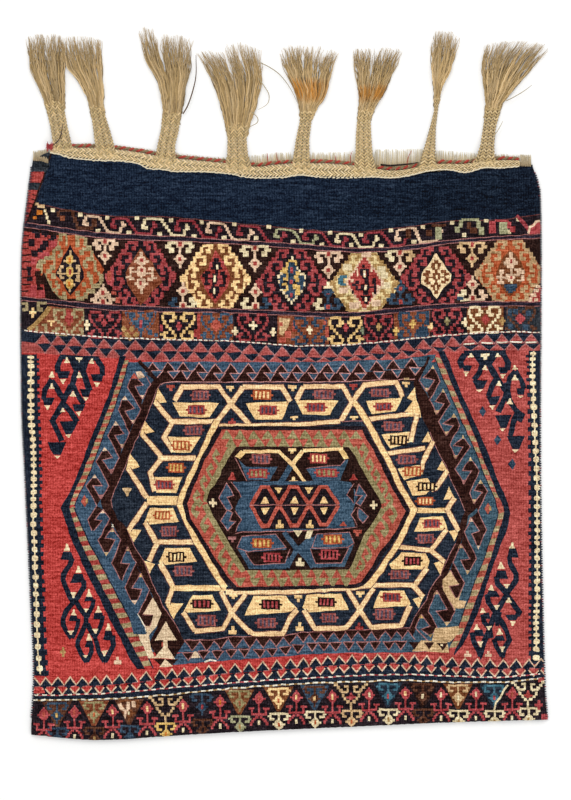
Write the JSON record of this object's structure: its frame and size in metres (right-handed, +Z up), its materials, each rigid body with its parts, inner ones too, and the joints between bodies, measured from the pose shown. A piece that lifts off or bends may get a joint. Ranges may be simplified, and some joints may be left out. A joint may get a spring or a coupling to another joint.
{
  "type": "chuval storage bag",
  "caption": "Flat woven wool storage bag, folded at the bottom and overcast at the sides, open at a braided mouth with warp tassels, lying patterned face up.",
  "frame": {"origin": "on the floor under the middle of the whole bag, tassels included", "axes": "+X to the right and +Y from the bottom fold to the tassels, as seen from above, +Z up out of the patterned face"},
  "size_m": [0.903, 1.2136, 0.0155],
  "materials": {
    "woven_wool": "weft-faced wool, matt, madder red, navy, blue, brown and ivory figures",
    "seam_wool": "overcast wool stitches, matt",
    "undyed_warp": "undyed beige wool warps, plaited or loose",
    "twined_wool": "twined red and undyed wool"
  },
  "bodies": {
    "root": {"woven_cloth": "woven_wool", "left_seam": "seam_wool", "right_seam": "seam_wool", "mouth_braid": "undyed_warp", "tassel_1": "undyed_warp", "tassel_2": "undyed_warp", "tassel_3": "undyed_warp", "tassel_4": "undyed_warp", "tassel_5": "undyed_warp", "tassel_6": "undyed_warp", "tassel_7": "undyed_warp", "tassel_8": "undyed_warp", "back_twining": "twined_wool", "back_fringe": "undyed_warp"}
  },
  "joints": []
}
